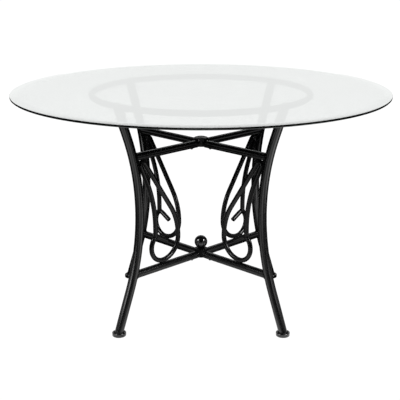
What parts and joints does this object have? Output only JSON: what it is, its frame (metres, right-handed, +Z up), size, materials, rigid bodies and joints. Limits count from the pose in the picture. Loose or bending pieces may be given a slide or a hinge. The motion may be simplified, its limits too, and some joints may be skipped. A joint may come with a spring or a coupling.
{
  "type": "round dining table",
  "caption": "Round dining table: a bevelled clear glass top resting on a steel ring and curved tubular legs, which crossed stretchers, scrolls and a ball finial join.",
  "frame": {"origin": "on the floor, on the table's upright axis, midway between the feet", "axes": "+Z up; -Y towards the viewer of the picture, +X to the viewer's right; the legs stand on the diagonals"},
  "size_m": [1.219, 1.2192, 0.752],
  "materials": {
    "black_steel": "satin black powder coat",
    "clear_glass": "polished",
    "clear_vinyl": "clear soft vinyl",
    "glide_nylon": "moulded nylon",
    "black_screws": "black oxide",
    "plated_steel": "zinc plated"
  },
  "bodies": {
    "base": {"leg_front_left": "black_steel", "foot_front_left": "black_steel", "glide_front_left": "glide_nylon", "upper_stretcher_front_left": "black_steel", "lower_stretcher_front_left": "black_steel", "scroll_front_left": "black_steel", "bumper_front_left": "clear_vinyl", "leg_front_right": "black_steel", "foot_front_right": "black_steel", "glide_front_right": "glide_nylon", "upper_stretcher_front_right": "black_steel", "lower_stretcher_front_right": "black_steel", "scroll_front_right": "black_steel", "bumper_front_right": "clear_vinyl", "leg_back_left": "black_steel", "foot_back_left": "black_steel", "glide_back_left": "glide_nylon", "upper_stretcher_back_left": "black_steel", "lower_stretcher_back_left": "black_steel", "scroll_back_left": "black_steel", "bumper_back_left": "clear_vinyl", "leg_back_right": "black_steel", "foot_back_right": "black_steel", "glide_back_right": "glide_nylon", "upper_stretcher_back_right": "black_steel", "lower_stretcher_back_right": "black_steel", "scroll_back_right": "black_steel", "bumper_back_right": "clear_vinyl", "upper_hub": "black_steel", "lower_hub": "black_steel", "finial_ball": "black_steel", "top_ring": "black_steel", "upper_hub_screws": "black_screws", "lower_hub_screws": "black_screws", "leg_top_plugs": "plated_steel", "ring_bushes": "plated_steel", "ring_bolts": "plated_steel", "finial_stud": "plated_steel"},
    "glass": {"glass_top": "clear_glass"}
  },
  "joints": [
    {"name": "glass_lift", "type": "slide", "parent": "base", "child": "glass", "axis": [0, 0, 1], "range_m": [0, 0.15]}
  ]
}
